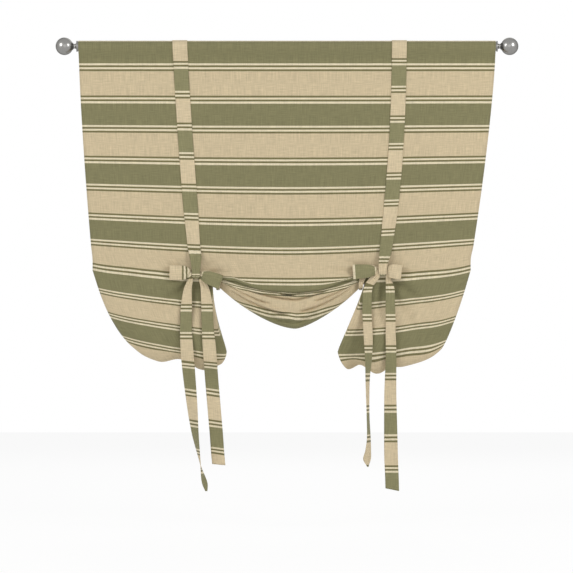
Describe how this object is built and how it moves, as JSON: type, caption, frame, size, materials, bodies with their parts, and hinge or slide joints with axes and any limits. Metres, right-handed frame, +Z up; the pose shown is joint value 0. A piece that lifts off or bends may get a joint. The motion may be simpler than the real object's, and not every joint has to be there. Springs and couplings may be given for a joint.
{
  "type": "balloon curtain",
  "caption": "Striped tie-up balloon curtain on a telescopic rod with ball finials, its lower half drawn up into a swag and tails by ties knotted in bows.",
  "frame": {"origin": "on the rod's axis, midway along the panel's width", "axes": "+X along the rod to the viewer's right, -Y towards the room, +Z up"},
  "size_m": [1.187, 0.0929, 1.1635],
  "materials": {
    "panel_cloth": "matt linen weave, woven across in olive green and beige bands with pin lines",
    "tie_cloth": "matt linen weave, the same bands as the panel",
    "rod_steel": "satin nickel plate",
    "plug_plastic": "moulded nylon",
    "finial_nickel": "polished satin nickel"
  },
  "bodies": {
    "curtain": {"curtain_panel": "panel_cloth", "left_front_tie": "tie_cloth", "left_back_tie": "tie_cloth", "right_front_tie": "tie_cloth", "right_back_tie": "tie_cloth", "outer_tube": "rod_steel", "left_end_plug": "plug_plastic", "left_finial": "finial_nickel"},
    "rod_extension": {"inner_tube": "rod_steel", "right_end_plug": "plug_plastic", "right_finial": "finial_nickel"}
  },
  "joints": [
    {"name": "rod_extend", "type": "slide", "parent": "curtain", "child": "rod_extension", "axis": [1, 0, 0], "range_m": [0, 0.147]}
  ]
}
